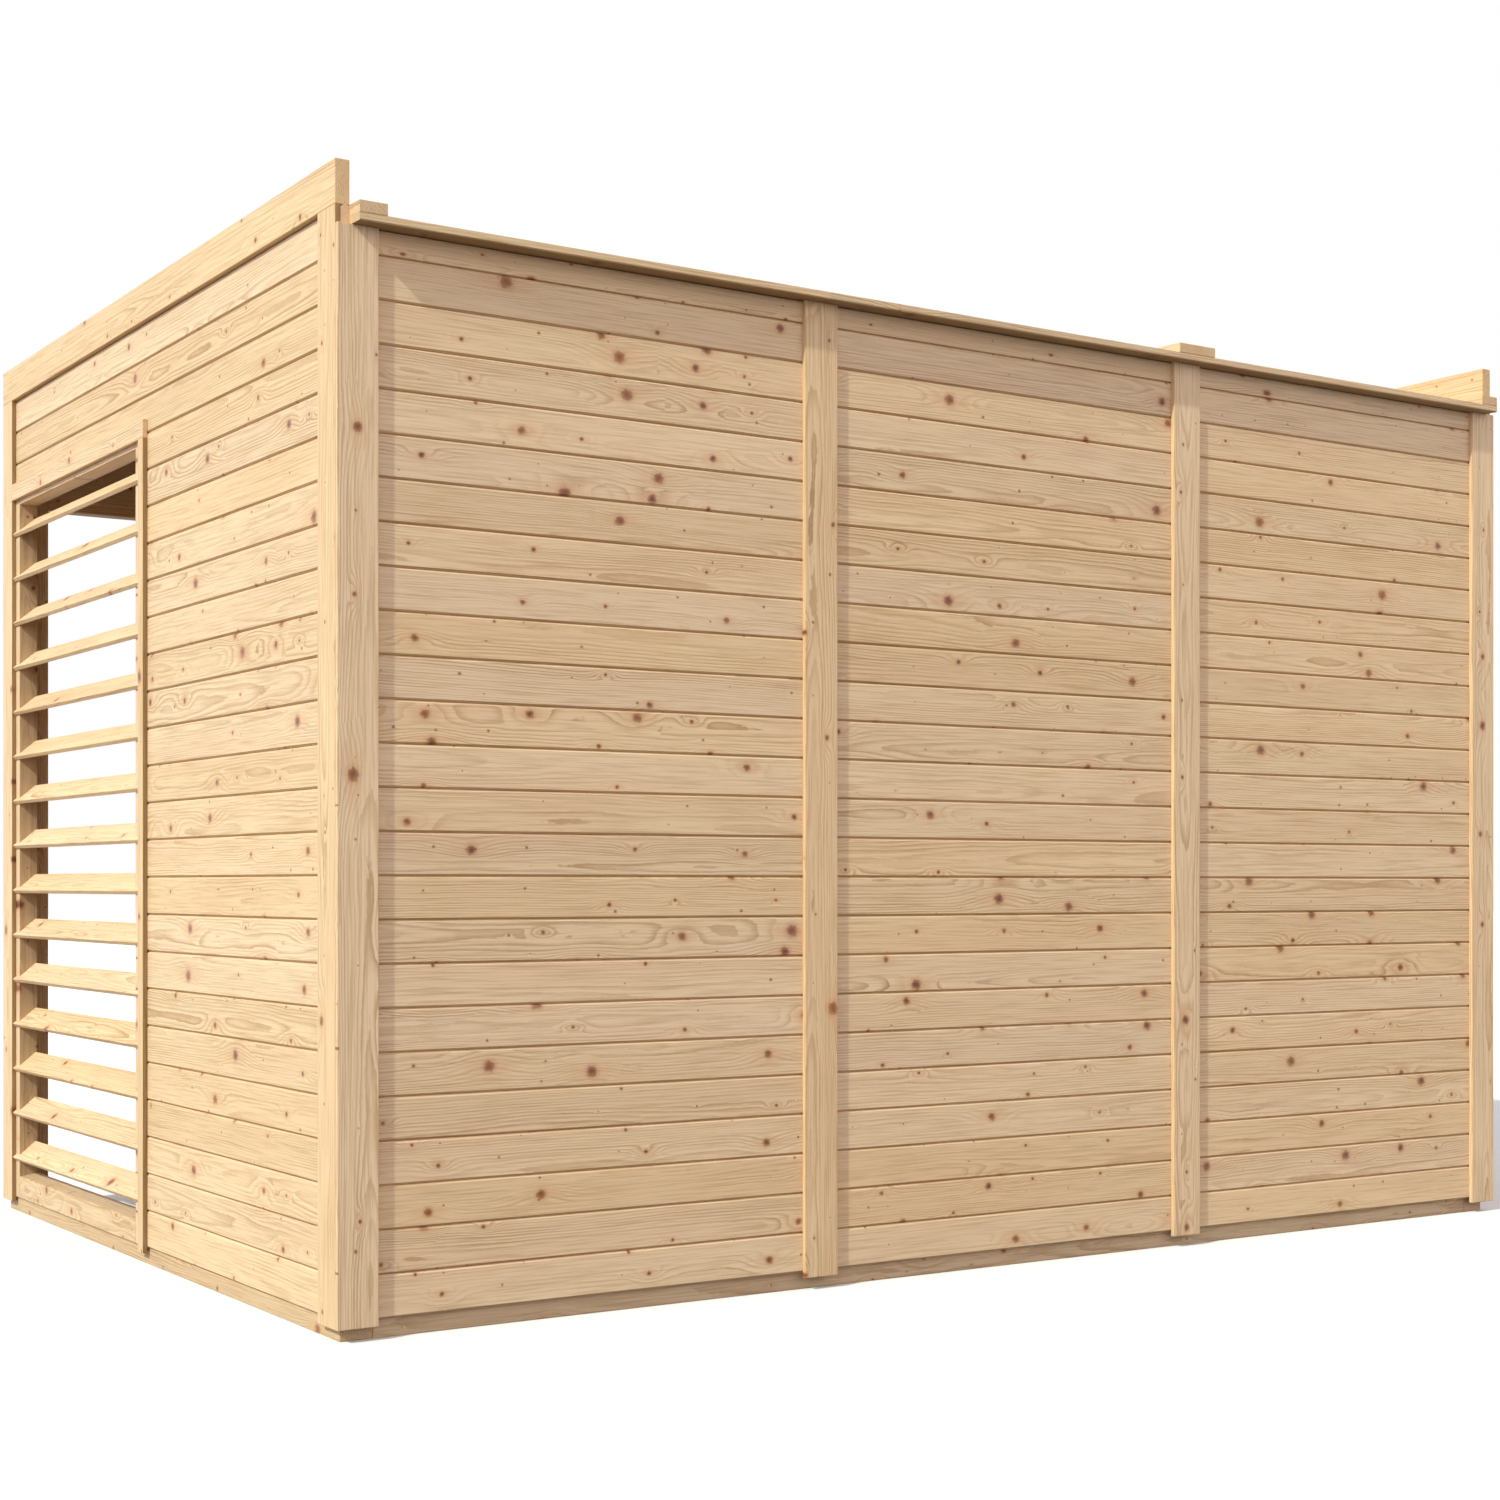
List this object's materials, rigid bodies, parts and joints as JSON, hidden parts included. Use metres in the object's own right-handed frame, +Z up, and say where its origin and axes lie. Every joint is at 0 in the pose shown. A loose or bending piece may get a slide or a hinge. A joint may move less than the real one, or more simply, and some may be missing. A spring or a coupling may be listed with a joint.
{
  "type": "garden pavilion",
  "caption": "Flat-roofed timber garden pavilion with an open front, boarded rear wall and side walls half boarded, half louvred.",
  "frame": {"origin": "on the ground, at the middle of the whole box", "axes": "+X along the rear wall, +Y towards the rear wall, the open front faces -Y, +Z up"},
  "size_m": [3.43, 2.367, 2.33],
  "materials": {
    "base_timber": "sawn bare spruce",
    "frame_timber": "planed bare spruce",
    "wall_boards": "planed bare spruce with knots",
    "louvre_frame": "planed bare spruce",
    "louvre_slats": "planed bare spruce",
    "trim_boards": "planed bare spruce",
    "roof_boards": "planed bare spruce, unpainted",
    "roof_battens": "sawn bare spruce"
  },
  "bodies": {
    "root": {"base_rear": "base_timber", "base_right": "base_timber", "base_left": "base_timber", "rear_corner_posts": "frame_timber", "rear_wall_posts": "frame_timber", "front_post_right": "frame_timber", "front_post_left": "frame_timber", "rear_boards_right": "wall_boards", "rear_boards_middle": "wall_boards", "rear_boards_left": "wall_boards", "side_boards_right": "wall_boards", "side_boards_left": "wall_boards", "upper_boards_right": "wall_boards", "upper_boards_left": "wall_boards", "front_header_boards": "wall_boards", "front_head_rail": "louvre_frame", "front_beam": "frame_timber", "louvre_stiles_right": "louvre_frame", "louvre_stiles_left": "louvre_frame", "louvre_head_right": "louvre_frame", "louvre_head_left": "louvre_frame", "louvre_sill_right": "louvre_frame", "louvre_sill_left": "louvre_frame", "louvre_slats_right": "louvre_slats", "louvre_slats_left": "louvre_slats", "rear_corner_trims": "trim_boards", "rear_joint_trims": "trim_boards", "side_corner_trims_right": "trim_boards", "side_corner_trims_left": "trim_boards", "louvre_upright_trims": "trim_boards", "louvre_head_trims": "trim_boards", "front_corner_trims": "trim_boards", "front_head_trim": "trim_boards", "rear_plate": "frame_timber", "rafters_side": "frame_timber", "rafters_middle": "frame_timber", "roof_deck_right": "roof_boards", "roof_deck_middle": "roof_boards", "roof_deck_left": "roof_boards", "parapet_right": "trim_boards", "parapet_left": "trim_boards", "parapet_front": "trim_boards", "roof_battens_side": "roof_battens", "roof_batten_middle": "roof_battens"}
  },
  "joints": []
}
